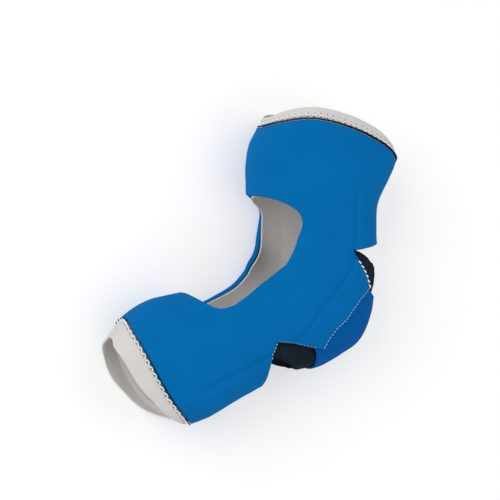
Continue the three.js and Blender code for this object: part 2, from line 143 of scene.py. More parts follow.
COVER_BACK = {
    "upper": (
        (0.173, 0.604), (0.185, 0.69), (0.196, 0.8), (0.205, 1),
    ),
    "side": (
        (0.173, 0.604), (0.125, 0.64), (0.066, 0.746), (0.02, 0.699), (-0.03, 0.671), (-0.1, 0.672),
        (-0.146, 0.699), (-0.172, 0.735), (-0.2, 0.704), (-0.29, 0.64), (-0.38, 0.586),
    ),
    "forearm": (
        (-0.38, 0.586), (-0.443, 0.658), (-0.475, 0.713), (-0.507, 0.8), (-0.519, 0.885), (-0.52, 1),
    ),
}
LINING_BACK = {
    "upper": (
        (0.22, 0.545), (0.218, 0.69), (0.216, 0.8), (0.216, 1),
    ),
    "side": (
        (0.22, 0.545), (0.17, 0.545), (0.065, 0.683), (-0.015, 0.62), (-0.105, 0.62),
        (-0.17, 0.675), (-0.27, 0.6), (-0.38, 0.53), (-0.48, 0.575),
    ),
    "forearm": (
        (-0.48, 0.575), (-0.508, 0.66), (-0.526, 0.79), (-0.535, 0.89), (-0.536, 1),
    ),
}
GUSSET_EDGES = {
    "front": (
        (-0.46, 0.6), (-0.38, 0.548), (-0.27, 0.618), (-0.17, 0.695), (-0.105, 0.64),
        (-0.015, 0.64), (0.065, 0.7), (0.17, 0.565), (0.195, 0.56),
    ),
    "low": (
        (-0.46, 0.6), (-0.435, 0.655), (-0.395, 0.715), (-0.355, 0.755), (-0.305, 0.91),
        (-0.29, 1),
    ),
    "high": (
        (0.195, 0.56), (0.175, 0.645), (0.165, 0.69), (0.145, 0.78), (0.14, 0.9),
        (0.14, 1),
    ),
}
CUP_EDGES = {
    "front": (
        (-0.2, 0.706), (-0.172, 0.737), (-0.146, 0.7), (-0.1, 0.672), (-0.03, 0.671), (0.02, 0.699),
        (0.06, 0.742),
    ),
    "low": (
        (-0.2, 0.706), (-0.198, 0.756), (-0.204, 0.85), (-0.21, 1),
    ),
    "high": (
        (0.06, 0.742), (0.057, 0.82), (0.054, 0.9), (0.05, 1),
    ),
}

# Front fold of the raised channels beside the back edges: along and around
CHANNEL_FOLD = (
    (-0.81, 0.65), (-0.63, 0.646), (-0.436, 0.648), (-0.228, 0.614), (-0.15, 0.564),
    (-0.074, 0.538), (0.014, 0.554), (0.088, 0.596), (0.195, 0.625), (0.425, 0.635),
)
# The channels' rise behind the fold and their ends along, and the valley in front of the fold
CHANNEL = {
    "rise": 1.4, "slope": (-1.2, 2.2), "fade": (42, 58),
    "forearm_end": (-0.9, -0.82), "upper_end": (0.42, 0.5),
}
CHANNEL_VALLEY = {"place": -2.0, "width": 2.8, "depth": 1.25}

# Grid of the cloth, with more lines next to the edges
COLUMNS = {"front": 30, "side": 72, "back": 33}
RIM_SPLIT = {"front": 0.28, "back": 0.62}
CUFF_ROWS = 36
ELBOW_ROWS = 96
GUSSET_GRID = {"rows": 96, "columns": 56}
CUP_GRID = {"rows": 64, "columns": 48}
BINDING_ROWS = 5
COLLAR_ROWS = {"even": 24, "even_end": 0.93, "close": (0.955, 0.975, 0.99, 1)}
EDGE_SHARES = (0.004, 0.011, 0.021, 0.036)
EVEN_START = EDGE_SHARES[-1] * 1.6

# Radius of the round edges of each wall
ROUNDING = {"cover": 1.6, "lining": 0.8, "collar": 1.15, "binding": 0.4, "gusset": 0.8, "cup": 1.2}


# Camera, stage and lights
VIEW_TILT = math.radians(22)      # of the camera towards the front of the arm
VIEW_DISTANCE = 1500.0
PIXEL = 1.05                      # millimetres at the elbow
PICTURE = 500
ELBOW_PIXEL = (311, 286)
SENSOR = 36.0
CLIP = (0.05, 20)
FLOOR = {"size": 12, "height": -0.0005, "grey": 0.72, "roughness": 0.9, "specular": 0.1, "glow": 0.36}
SKY_STRENGTH = 0.5


def make_camera():
    right = Vector((math.cos(VIEW_TILT), 0, math.sin(VIEW_TILT)))
    up = Vector((0, 1, 0))
    back = Vector((-math.sin(VIEW_TILT), 0, math.cos(VIEW_TILT)))
    middle = PICTURE / 2
    place = Vector(ELBOW) + back * VIEW_DISTANCE
    place += right * (middle - ELBOW_PIXEL[0]) * PIXEL + up * (ELBOW_PIXEL[1] - middle) * PIXEL
    data = bpy.data.cameras.new("camera")
    data.sensor_width = SENSOR
    data.lens = SENSOR * VIEW_DISTANCE / PIXEL / PICTURE
    data.clip_start, data.clip_end = CLIP
    camera = bpy.data.objects.new("camera", data)
    bpy.context.collection.objects.link(camera)
    turn = Matrix((right, up, back)).transposed().to_4x4()
    camera.matrix_world = Matrix.Translation(place * MM) @ turn
    bpy.context.scene.camera = camera


def make_floor():
    bpy.ops.mesh.primitive_plane_add(size=FLOOR["size"], location=(0, 0, FLOOR["height"]))
    floor = bpy.context.active_object
    floor.name = "floor"
    material = bpy.data.materials.new("floor")
    material.use_nodes = True
    shader = material.node_tree.nodes["Principled BSDF"]
    shader.inputs["Base Color"].default_value = (FLOOR["grey"], FLOOR["grey"], FLOOR["grey"], 1)
    shader.inputs["Roughness"].default_value = FLOOR["roughness"]
    shader.inputs["Specular IOR Level"].default_value = FLOOR["specular"]
    shader.inputs["Emission Color"].default_value = (1, 1, 1, 1)
    shader.inputs["Emission Strength"].default_value = FLOOR["glow"]
    floor.data.materials.append(material)


LIGHTS = (
    # name, place in metres, size, watts
    ("key", (-1.3, 0.5, 1.3), 1.2, 13),
    ("fill", (0.9, -0.5, 1.5), 1.4, 5),
    ("top", (0.1, 0.3, 1.9), 1.6, 6),
)


def make_lights():
    for name, place, size, watts in LIGHTS:
        data = bpy.data.lights.new(name, "AREA")
        data.size = size
        data.energy = watts
        light = bpy.data.objects.new(name, data)
        light.location = place
        light.rotation_euler = (-Vector(place)).to_track_quat("-Z", "Y").to_euler()
        bpy.context.collection.objects.link(light)
    world = bpy.data.worlds.new("studio")
    world.use_nodes = True
    sky = world.node_tree.nodes["Background"]
    sky.inputs["Color"].default_value = (1, 1, 1, 1)
    sky.inputs["Strength"].default_value = SKY_STRENGTH
    bpy.context.scene.world = world
    bpy.context.scene.view_settings.view_transform = "Standard"


make_camera()
make_floor()
make_lights()


# Curves through tables
def through(rows, at):
    """Smooth curve through the rows of a table, at places of its first column."""
    x, y = np.array(rows, float).T
    slopes = np.gradient(y, x)
    at = np.clip(at, x[0], x[-1])
    i = np.clip(np.searchsorted(x, at) - 1, 0, len(x) - 2)
    span = x[i + 1] - x[i]
    u = (at - x[i]) / span
    start = (1 + 2 * u) * (1 - u) ** 2 * y[i] + u * (1 - u) ** 2 * span * slopes[i]
    end = u * u * (3 - 2 * u) * y[i + 1] + u * u * (u - 1) * span * slopes[i + 1]
    return start + end


def on_curve(rows, position):
    """Places on an edge table at shares of its rows, on a smooth curve."""
    rows = np.array(rows, float)
    order = np.arange(len(rows))
    return np.stack([through(np.stack([order, rows[:, k]], 1), position) for k in (0, 1)], -1)


def on_lines(rows, share):
    """Places on an edge table on straight lines, at shares from 0 to 1."""
    rows = np.array(rows, float)
    position = np.asarray(share, float) * (len(rows) - 1)
    return np.stack([np.interp(position, np.arange(len(rows)), rows[:, k]) for k in (0, 1)], -1)


def crowded(count):
    """Shares from 0 to 1 with more steps next to both ends."""
    edge = np.array(EDGE_SHARES)
    inner = np.linspace(EVEN_START, 1 - EVEN_START, count - 1 - 2 * len(edge))
    return np.concatenate([[0], edge, inner, 1 - edge[::-1], [1]])


# Form of the sleeve
TABLE_REACH = (-1.16, 1.04)
TABLE_ROWS = 1101
TABLE_COLUMNS = 641
SECTION_STEPS = 768
LAST_CELL = 1.001        # keeps the last place inside the last cell of the table
NORMAL_STEP = 0.004


def middle_line(distance):
    """Point on the middle line of the arm and the direction towards the back."""
    half = BEND_TURN / 2
    arc = BEND_RADIUS * half
    centre = np.array((-BEND_RADIUS, BEND_RADIUS * math.tan(half)))
    on_arc = np.clip(distance, -arc, arc)
    angle = -half + on_arc / BEND_RADIUS
    back = np.stack([np.cos(angle), np.sin(angle)], -1)
    forward = np.stack([-back[:, 1], back[:, 0]], -1)
    return centre + back * BEND_RADIUS + forward * (distance - on_arc)[:, None], back


def section_table():
    """Points of the upper half of the sleeve on an even grid of along and around."""
    along = np.linspace(*TABLE_REACH, TABLE_ROWS)
    rows = np.array(SECTIONS)
    front, back, side, roundness = (through(rows[:, (0, k)], along)[:, None] for k in range(1, 5))
    turn = np.linspace(0, math.pi, SECTION_STEPS + 1)[None, :]
    is_front = turn <= math.pi / 2
    power = 2 / np.where(is_front, FRONT_ROUNDNESS, roundness)
    reach = np.where(is_front, -front, back) * CUFF_REACH
    depth = np.abs(np.cos(turn)) ** power * reach
    width = np.maximum(0, np.sin(turn)) ** power * side * HALF_WIDTH
    steps = np.hypot(np.diff(depth, axis=1), np.diff(width, axis=1))
    girth = np.concatenate([np.zeros((TABLE_ROWS, 1)), np.cumsum(steps, axis=1)], axis=1)
    girth /= girth[:, -1:]
    shares = np.linspace(0, 1, TABLE_COLUMNS)
    depth = np.array([np.interp(shares, g, d) for g, d in zip(girth, depth)])
    width = np.array([np.interp(shares, g, w) for g, w in zip(girth, width)])
    point, outward = middle_line(along * ARM_LENGTH)
    x = point[:, :1] + outward[:, :1] * depth
    y = point[:, 1:] + outward[:, 1:] * depth
    return np.stack([x, y, width], -1)


TABLE = section_table()


def surface(along, around):
    """Points of the outside of the cover. A negative around is the half that faces down."""
    along, around = np.broadcast_arrays(np.asarray(along, float), np.asarray(around, float))
    around = np.where(around > 1, around - 2, np.where(around < -1, around + 2, around))
    low, high = TABLE_REACH
    row = np.clip((along - low) / (high - low) * (TABLE_ROWS - 1), 0, TABLE_ROWS - LAST_CELL)
    column = np.clip(np.abs(around) * (TABLE_COLUMNS - 1), 0, TABLE_COLUMNS - LAST_CELL)
    i, j = row.astype(int), column.astype(int)
    u, v = (row - i)[..., None], (column - j)[..., None]
    near = TABLE[i, j] * (1 - v) + TABLE[i, j + 1] * v
    far = TABLE[i + 1, j] * (1 - v) + TABLE[i + 1, j + 1] * v
    point = near * (1 - u) + far * u
    point[..., 2] *= np.where(around < 0, -1, 1)
    return point


def inward(along, around):
    """Directions into the sleeve, square to its outside."""
    step = NORMAL_STEP
    along_side = surface(along + step, around) - surface(along - step, around)
    around_side = surface(along, around + step) - surface(along, around - step)
    normal = np.cross(along_side, around_side)
    return normal / np.linalg.norm(normal, axis=-1, keepdims=True)


def at_depth(places, depth):
    """Points at a depth under the outside. The half that faces down is pressed flat where it rests."""
    along, around = places[..., 0], places[..., 1]
    depth = np.broadcast_to(np.asarray(depth, float), along.shape)
    point = surface(along, around) + inward(along, around) * depth[..., None]
    point[..., 2] = np.maximum(point[..., 2], -REST_DEPTH + np.maximum(depth, 0))
    return point


HALF_GIRTH = np.linalg.norm(np.diff(TABLE[TABLE_ROWS // 2], axis=0), axis=1).sum()


def smooth(value, low, high):
    share = np.clip((value - low) / (high - low), 0, 1)
    return share * share * (3 - 2 * share)


NOISE_SHIFT = (17.3, 5.1, 29.7)      # between one seed and the next
NOISE_HEIGHT = 1.6


def clouds(points, size, seed):
    """Soft bumps of about one size, from -1 to 1."""
    shift = Vector(seed * step for step in NOISE_SHIFT)
    return np.array([noise.noise(Vector(p) / size + shift) for p in points]) * NOISE_HEIGHT


# Grids of places for the half that faces up
def column_shares():
    front = np.linspace(0, 1, COLUMNS["front"] + 1)
    side = crowded(COLUMNS["side"] + 1)
    back = np.linspace(0, 1, COLUMNS["back"] + 1)
    return front, side[1:], back[1:]


def rim_columns():
    front, side, back = column_shares()
    low, high = RIM_SPLIT["front"], RIM_SPLIT["back"]
    return np.concatenate([front * low, low + side * (high - low), high + back * (1 - high)])


def cuff_edge(window, back_rows, start, end):
    """Edge of a cuff towards the elbow: under the opening, along the side panel, around the back."""
    front, side, back = column_shares()
    corner = on_curve(window, end)
    under = on_curve(window, start + (end - start) * front)
    across = corner + (np.array(back_rows[0]) - corner) * side[:, None]
    return np.concatenate([under, across, on_lines(back_rows, back)])


def cuff_rows(edge, rim, inset):
    around = rim_columns()
    end = np.stack([through(rim, around) - inset / ARM_LENGTH, around], -1)
    share = crowded(CUFF_ROWS)[:, None, None]
    return edge + (end - edge) * share


def sleeve(back, inset, window=WINDOW):
    """Grids of the forearm cuff, the side panel and the upper cuff."""
    last = len(window) - 1
    high, low = WINDOW_CORNERS["upper"], WINDOW_CORNERS["forearm"]
    upper = cuff_rows(cuff_edge(window, back["upper"], 0, high), UPPER_RIM, inset)
    forearm = cuff_rows(cuff_edge(window, back["forearm"], last, low), FOREARM_RIM, -inset)[::-1]
    share = np.linspace(0, 1, ELBOW_ROWS + 1)
    start = on_curve(window, low + (high - low) * share)[:, None]
    end = on_lines(back["side"], 1 - share)[:, None]
    across = np.concatenate([[0], column_shares()[1]])[None, :, None]
    return [forearm, start + (end - start) * across, upper]


def patch(edges, grid):
    """Grid between a front edge, a low edge, a high edge and the back line."""
    v = crowded(grid["rows"])[:, None, None]
    u = crowded(grid["columns"])[None, :, None]
    low, high = on_lines(edges["low"], u[..., 0]), on_lines(edges["high"], u[..., 0])
    front = on_lines(edges["front"], v[..., 0])
    back = low[:, -1:] + (high[:, -1:] - low[:, -1:]) * v
    across = front + (back - front) * u
    up = low + (high - low) * v
    flat_low = low[:, :1] + (low[:, -1:] - low[:, :1]) * u
    flat_high = high[:, :1] + (high[:, -1:] - high[:, :1]) * u
    return [across + up - (flat_low + (flat_high - flat_low) * v)]


def band(rim, distances):
    """Grid of rows past the end of a cuff, each at its distances in millimetres."""
    around = rim_columns()
    rows = [np.stack([through(rim, around) + d / ARM_LENGTH, around], -1) for d in distances]
    return [np.array(rows)]


# Closed cloth walls
PLACE_STEPS = 100000      # to 1, where places are compared
BACK_LINE = 99990


def both_halves(up, down):
    """Places and cells of the grids of both halves, with shared corners made one."""
    places, cells, count = [], [], 0
    for side, grid in [(1, grid) for grid in up] + [(-1, grid) for grid in down]:
        rows, columns = grid.shape[:2]
        number = np.arange(rows * columns).reshape(rows, columns)
        corners = (number[:-1, :-1], number[:-1, 1:], number[1:, 1:], number[1:, :-1])
        cell = np.stack(corners, -1).reshape(-1, 4)
        places.append(grid.reshape(-1, 2) * (1, side))
        cells.append((cell if side > 0 else cell[:, ::-1]) + count)
        count += rows * columns
    places, cells = np.concatenate(places), np.concatenate(cells)
    key = np.round(places * PLACE_STEPS).astype(int)
    key[np.abs(key[:, 1]) >= BACK_LINE, 1] = PLACE_STEPS
    _, first, number = np.unique(key, axis=0, return_index=True, return_inverse=True)
    return places[first], number.reshape(-1)[cells]


def open_edges(cells):
    """Directed edges that only one cell uses."""
    edges = np.stack([cells, np.roll(cells, -1, axis=1)], -1).reshape(-1, 2)
    size = cells.max() + 1
    lone = ~np.isin(edges[:, 0] * size + edges[:, 1], edges[:, 1] * size + edges[:, 0])
    return edges[lone]


def edge_distance(points, edges):
    """Distance of each point to the nearest open edge."""
    start, end = points[edges[:, 0]], points[edges[:, 1]]
    samples = np.concatenate([start + (end - start) * share for share in (0, 0.25, 0.5, 0.75)])
    tree = kdtree.KDTree(len(samples))
    for i, sample in enumerate(samples):
        tree.insert(sample, i)
    tree.balance()
    return np.array([tree.find(p)[2] for p in points])


def new_piece(name, points, faces, material):
    mesh = bpy.data.meshes.new(name)
    mesh.from_pydata(((points + ELBOW) * MM).tolist(), [], faces)
    mesh.validate()
    mesh.shade_smooth()
    mesh.materials.append(material)
    piece = bpy.data.objects.new(name, mesh)
    bpy.context.collection.objects.link(piece)
    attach(piece, "root")
    return piece


def cloth_wall(name, grids, outer, inner, rounding, material, relief=None, wave=None, down=None):
    """Closed wall with round edges. relief lifts its outside, wave moves both sides, in millimetres.
    down is the grids of the half that faces down, where they differ."""
    places, cells = both_halves(grids, down or grids)
    edges = open_edges(cells)
    skin = at_depth(places, outer(places))
    distance = edge_distance(skin, edges)
    inset = np.maximum(rounding - distance, 0)
    drop = rounding - np.sqrt(rounding ** 2 - inset ** 2)
    lift = relief(places, skin, distance) if relief else 0
    shift = wave(places, skin) if wave else 0
    top = at_depth(places, outer(places) + drop - lift - shift)
    under = at_depth(places, inner(places) - drop - shift)
    count = len(places)
    rims = np.stack([edges[:, 0], edges[:, 0] + count, edges[:, 1] + count, edges[:, 1]], 1)
    faces = np.concatenate([cells, cells[:, ::-1] + count, rims])
    piece = new_piece(name, np.concatenate([top, under]), faces.tolist(), material)
    edge = piece.data.attributes.new("edge", "FLOAT", "POINT")
    edge.data.foreach_set("value", np.tile(distance, 2))
    return piece


# Materials
SHEEN_ROUGHNESS = 0.5
SPECULAR = 0.05
PATCHES = {"scale": 28, "detail": 3, "low": 0.3, "high": 0.7}
FLECKS = {"detail": 4, "low": 0.35, "high": 0.65, "share": 0.35}
GRAIN_RELIEF = {"detail": 5, "distance": 0.0006}
EDGE_FADE = (0.6, 1.2)      # of the width of an edge of another colour


def feed(socket, value):
    """Link a socket to another one, or set its number or colour."""
    if isinstance(value, bpy.types.NodeSocket):
        socket.id_data.links.new(value, socket)
    elif isinstance(value, tuple):
        socket.default_value = (*value, 1)
    else:
        socket.default_value = value


def noise_node(tree, scale, detail):
    node = tree.nodes.new("ShaderNodeTexNoise")
    feed(node.inputs["Scale"], scale)
    feed(node.inputs["Detail"], detail)
    feed(node.inputs["Vector"], tree.nodes["Texture Coordinate"].outputs["Object"])
    return node.outputs["Fac"]


def ramp_node(tree, value, low, high):
    node = tree.nodes.new("ShaderNodeMapRange")
    feed(node.inputs["From Min"], low)
    feed(node.inputs["From Max"], high)
    feed(node.inputs["Value"], value)
    return node.outputs["Result"]


def mix_node(tree, factor, first, second):
    node = tree.nodes.new("ShaderNodeMix")
    node.data_type = "RGBA"
    colours = [socket for socket in node.inputs if socket.type == "RGBA"]
    feed(node.inputs["Factor"], factor)
    feed(colours[0], first)
    feed(colours[1], second)
    return [socket for socket in node.outputs if socket.type == "RGBA"][0]


def noise_mix(tree, scale, form, first, second):
    """Two colours mixed by noise of one scale."""
    noise_ramp = ramp_node(tree, noise_node(tree, scale, form["detail"]), form["low"], form["high"])
    return mix_node(tree, noise_ramp, first, second)


def fabric_colour(tree, colour, shade, grain, edge):
    """Soft patches and fine flecks around a colour, and an edge of another colour."""
    dark = tuple(c * (1 - shade) for c in colour)
    darker = tuple(c * (1 - shade) for c in dark)
    light = tuple(min(1, c * (1 + shade)) for c in colour)
    body = noise_mix(tree, PATCHES["scale"], PATCHES, dark, light)
    flecks = noise_mix(tree, grain, FLECKS, darker, light)
    mixed = mix_node(tree, FLECKS["share"], body, flecks)
    if not edge:
        return mixed
    edge_colour, width = edge
    reader = tree.nodes.new("ShaderNodeAttribute")
    reader.attribute_name = "edge"
    low, high = EDGE_FADE
    return mix_node(tree, ramp_node(tree, reader.outputs["Fac"], width * low, width * high),
                    edge_colour, mixed)


def fabric(name, colour, shade, grain, bump, roughness, sheen, edge):
    """Cloth with a fine grain, soft changes of colour and a sheen. Colours are linear."""
    material = bpy.data.materials.new(name)
    material.use_nodes = True
    tree = material.node_tree
    tree.nodes.new("ShaderNodeTexCoord")
    shader = tree.nodes["Principled BSDF"]
    feed(shader.inputs["Roughness"], roughness)
    feed(shader.inputs["Sheen Weight"], sheen)
    feed(shader.inputs["Sheen Roughness"], SHEEN_ROUGHNESS)
    feed(shader.inputs["Sheen Tint"], colour)
    feed(shader.inputs["Specular IOR Level"], SPECULAR)
    feed(shader.inputs["Base Color"], fabric_colour(tree, colour, shade, grain, edge))
    relief = tree.nodes.new("ShaderNodeBump")
    feed(relief.inputs["Strength"], bump)
    feed(relief.inputs["Distance"], GRAIN_RELIEF["distance"])
    feed(relief.inputs["Height"], noise_node(tree, grain, GRAIN_RELIEF["detail"]))
    feed(shader.inputs["Normal"], relief.outputs["Normal"])
    return material


BLUE = (0.0005, 0.143, 0.415)
# The cup's blue is the cover's blue made darker: painted shade, for the cup that turns away from the
# light.
CUP_BLUE_PAINTED_SHADE = (0.0006, 0.098, 0.36)
GREY = (0.66, 0.635, 0.61)
CHARCOAL = (0.010, 0.018, 0.027)
BLACK = (0.006, 0.007, 0.010)
WHITE = (0.84, 0.90, 0.95)
PALE = (0.42, 0.64, 0.80)
# Blue-grey for the stitches in the lower notch: light thread with painted shade.
THREAD_IN_PAINTED_SHADE = (0.10, 0.25, 0.40)
FABRICS = (
    # name, colour, shade, grain, bump, roughness, sheen, colour and width of the edge
    ("cover_cloth", BLUE, 0.07, 1100, 0.25, 0.92, 0.15, None),
    # cup_cloth is cover_cloth in a darker blue: painted shade.
    ("cup_cloth", CUP_BLUE_PAINTED_SHADE, 0.07, 1100, 0.25, 0.92, 0.15, None),
    ("lining_cloth", GREY, 0.05, 900, 0.5, 0.97, 0.1, None),
    ("gusset_knit", CHARCOAL, 0.25, 700, 0.6, 0.9, 0.1, (BLACK, 1.6)),
    ("binding_cloth", BLACK, 0.2, 1400, 0.3, 0.8, 0.1, None),
    ("white_thread", WHITE, 0.03, 2500, 0.3, 0.7, 0.1, None),
    ("pale_thread", PALE, 0.03, 2500, 0.3, 0.7, 0.1, None),
    # This thread's colour is light thread with painted shade.
    ("painted_shade_thread", THREAD_IN_PAINTED_SHADE, 0.06, 2500, 0.3, 0.7, 0.1, None),
    ("dark_thread", BLACK, 0.1, 2500, 0.3, 0.7, 0.1, None),
)
MATERIALS = {row[0]: fabric(*row) for row in FABRICS}


# Cover
PUCKER = {"reach": 5.0, "depth": 0.35}
# Soft swellings of the cover: height and size in millimetres, and seed
COVER_SWELLINGS = (
    (0.45, 34, 1),
    (0.16, 11, 2),
)
COVER_PILLOW = {"rise": 0.5, "reach": 9, "drop": 0.3}
# From an edge to where these are at their full height
SWELLING_FADE = 6
CREASE_FADE = 5
# Soft creases, from one place to another: along, around, along, around, width and depth in millimetres
CREASES = (
    (-0.30, 0.29, -0.20, 0.44, 4.5, 0.7),
    (-0.42, 0.33, -0.36, 0.47, 5.0, 0.6),
    (-0.10, 0.27, -0.02, 0.38, 4.5, 0.5),
    (-0.62, 0.30, -0.56, 0.40, 5.0, 0.6),
    (0.37, 0.35, 0.48, 0.40, 6.0, 0.6),
    (0.50, 0.62, 0.66, 0.70, 8.0, 1.0),
)


def channel_relief(places):
    """Height of the raised channels behind their folds."""
    along, around = places[:, 0], np.abs(places[:, 1])
    behind = (around - through(CHANNEL_FOLD, along)) * HALF_GIRTH
    ends = smooth(along, *CHANNEL["forearm_end"]) * (1 - smooth(along, *CHANNEL["upper_end"]))
    valley = np.exp(-((behind - CHANNEL_VALLEY["place"]) / CHANNEL_VALLEY["width"]) ** 2)
    fade = 1 - smooth(behind, *CHANNEL["fade"])
    rise = CHANNEL["rise"] * smooth(behind, *CHANNEL["slope"]) * fade
    return (rise - CHANNEL_VALLEY["depth"] * valley) * ends


def rim_pucker(places):
    """Dips where the overlock pulls the ends of the cuffs in."""
    along, around = places[:, 0], np.abs(places[:, 1])
    dip = 0
    for cuff in CUFFS.values():
        gap = (through(cuff["rim"], around) - along) * cuff["direction"]
        near = np.exp(-(gap * ARM_LENGTH / PUCKER["reach"]) ** 2)
        dip = dip - near * (0.5 + 0.5 * np.cos(2 * math.pi * cuff["stitches"] * around))
    return PUCKER["depth"] * dip


def crease_relief(places):
    """Shallow valleys along the creases of both halves."""
    scale = np.array((ARM_LENGTH, HALF_GIRTH))
    at = np.stack([places[:, 0], np.abs(places[:, 1])], -1) * scale
    relief = np.zeros(len(places))
    for along, around, along_end, around_end, width, depth in CREASES:
        start = np.array((along, around)) * scale
        run = np.array((along_end, around_end)) * scale - start
        share = np.clip((at - start) @ run / (run @ run), 0, 1)
        away = np.linalg.norm(at - start - share[:, None] * run, axis=1)
        relief -= depth * np.exp(-(away / width) ** 2)
    return relief


def pillow(distance, form):
    """Padding that is drawn in at its edges."""
    return form["rise"] * smooth(distance, 0, form["reach"]) - form["drop"]


def cover_relief(places, points, distance):
    puff = sum(height * clouds(points, size, seed) for height, size, seed in COVER_SWELLINGS)
    puff = (puff + pillow(distance, COVER_PILLOW)) * smooth(distance, 0, SWELLING_FADE)
    creases = crease_relief(places) * smooth(distance, 0, CREASE_FADE)
    return channel_relief(places) + rim_pucker(places) + creases + puff


def flat(depth):
    return lambda places: np.full(len(places), float(depth))


cover = cloth_wall("cover_cloth", sleeve(COVER_BACK, 0), flat(0), flat(COVER_WALL),
                   ROUNDING["cover"], MATERIALS["cover_cloth"], cover_relief,
                   down=sleeve(COVER_BACK, 0, LOWER_WINDOW))
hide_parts("cover")

# Lining
# How far the lining shows past the edge of the opening, in millimetres at the rows of WINDOW
LIP = {
    "up": (0.5, 0.0, -0.5, -0.5, 0.0, 0.6, 1.2, 1.6, 1.8, 1.7, 1.4, 1.0, 0.8, 0.8),
    "down": (0.5, 5.0, 7.0, 6.0, 2.0, -1.2, -2.0, -2.0, -1.6, -0.4, 0.5, 0.8, 0.8, 0.8),
}


def narrowed(window, reach):
    """Edge of the opening moved towards its middle."""
    rows = np.array(window, float)
    scale = np.array((ARM_LENGTH, HALF_GIRTH))
    tangent = np.gradient(rows * scale, axis=0)
    tangent /= np.linalg.norm(tangent, axis=1, keepdims=True)
    inner = np.stack([tangent[:, 1], -tangent[:, 0]], 1)
    to_middle = np.array(WINDOW_MIDDLE) * scale - rows * scale
    inner *= np.sign((inner * to_middle).sum(1, keepdims=True))
    moved = rows + inner * np.array(reach)[:, None] / scale
    moved[0] = rows[0, 0] - reach[0] / ARM_LENGTH, 0
    moved[-1] = rows[-1, 0] + reach[-1] / ARM_LENGTH, 0
    return moved


lining_inset = COLLAR_TUCK + SEAM_GAP
lining = cloth_wall("lining_cloth", sleeve(LINING_BACK, lining_inset, narrowed(WINDOW, LIP["up"])),
                    flat(LINING_DEPTH), flat(LINING_DEPTH + LINING_WALL), ROUNDING["lining"],
                    MATERIALS["lining_cloth"],
                    down=sleeve(LINING_BACK, lining_inset, narrowed(LOWER_WINDOW, LIP["down"])))
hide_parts("lining")


# Collars
COLLAR_WAVE = {"height": 0.7, "size": 22, "seed": 3, "start": 4}


def past_rim(places, cuff):
    """Millimetres past the end of a cuff."""
    rim = through(cuff["rim"], np.abs(places[..., 1]))
    return (places[..., 0] - rim) * ARM_LENGTH * cuff["direction"]


def collar_depth(places, cuff):
    """The collar leaves from under the cover, comes out to the surface and narrows to its end."""
    size = cuff["collar"]
    past = np.maximum(0, past_rim(places, cuff))
    sides = np.sin(math.pi * np.abs(places[..., 1]))
    taper = size["front_taper"] + (size["side_taper"] - size["front_taper"]) * sides
    flare = COLLAR_FLARE["rise"] * smooth(past, COLLAR_FLARE["start"], COLLAR_FLARE["end"])
    return LINING_DEPTH + past / size["length"] * taper - flare


def rows_past(cuff, distances):
    """Rows past the end of a cuff, ordered along the arm."""
    rows = [distance * cuff["direction"] for distance in distances]
    return band(cuff["rim"], rows if cuff["direction"] > 0 else rows[::-1])


def collar(name, cuff):
    length = cuff["collar"]["length"]

    def outer(places):
        return collar_depth(places, cuff)

    def inner(places):
        return outer(places) + COLLAR_WALL

    def wave(places, points):
        bumps = COLLAR_WAVE["height"] * clouds(points, COLLAR_WAVE["size"], COLLAR_WAVE["seed"])
        return bumps * smooth(past_rim(places, cuff), COLLAR_WAVE["start"], length)

    reach = through(cuff["reach"], rim_columns()) * length
    even = np.linspace(0, COLLAR_ROWS["even_end"], COLLAR_ROWS["even"])
    shares = np.concatenate([even, COLLAR_ROWS["close"]])
    grids = rows_past(cuff, [-COLLAR_TUCK, -COLLAR_TUCK / 2, *(reach * share for share in shares)])
    piece = cloth_wall(name + "_cloth", grids, outer, inner, ROUNDING["collar"],
                       MATERIALS["lining_cloth"], wave=wave)
    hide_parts(name)


collar("upper_collar", CUFFS["upper"])
collar("forearm_collar", CUFFS["forearm"])

# Bindings
TIP_REACH = 3.6
TIP_SHARE = 0.012
BINDING_SPREAD = (0.4, 1.25)      # of its width, at the front and at the back


def binding(name, cuff, length, tip):
    """Dark edge at the end of the cover, with a tip that stands out at the back."""
    width = length * (BINDING_SPREAD[0] + (BINDING_SPREAD[1] - BINDING_SPREAD[0]) * rim_columns())
    grids = rows_past(cuff, [SEAM_GAP + width * share for share in np.linspace(0, 1, BINDING_ROWS)])

    def outer(places):
        back = (1 - np.abs(places[:, 1])) / TIP_SHARE
        return -BINDING_PROUD - tip * np.exp(-back ** 2)

    piece = cloth_wall(name + "_cloth", grids, outer, flat(BINDING_WALL - BINDING_PROUD),
                       ROUNDING["binding"], MATERIALS["binding_cloth"])
    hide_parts(name)


binding("upper_binding", CUFFS["upper"], BINDING_LENGTH["upper"], TIP_REACH)
binding("forearm_binding", CUFFS["forearm"], BINDING_LENGTH["forearm"], 0)


# Gusset and cup
NOTCH_EDGE = 0.68                # stands for the edge of the cover past the side panels
GUSSET_STEP = (0.03, 0.09)       # behind that edge, around, where the gusset comes out
# Crumple of the loose knit, by a cloth simulation in units of 100 mm
CRUMPLE = {
    "growth": 0.10, "frames": 16, "pinned": 1.6, "bending": 0.02, "mass": 0.1, "unit": 0.01,
    "seed_wave": 0.5, "wave_size": 9, "wave_seed": 4,
}
# The most it moves in the open notches, and where cup and cover lie close above it.
# Millimetres behind the cover and beside the cup over which it opens.
CRUMPLE_ROOM = {"open": 1.6, "under": 0.35, "behind": (1, 5), "beside": (2, 7)}


def back_edge(along):
    rows = np.array(COVER_BACK["side"])[::-1]
    inside = np.interp(along, rows[:, 0], rows[:, 1])
    return np.where((along <= rows[0, 0]) | (along >= rows[-1, 0]), NOTCH_EDGE, inside)


def gusset_depth(places):
    past = np.abs(places[:, 1]) - back_edge(places[:, 0])
    return GUSSET_DEPTH - GUSSET_RISE * smooth(past, *GUSSET_STEP)


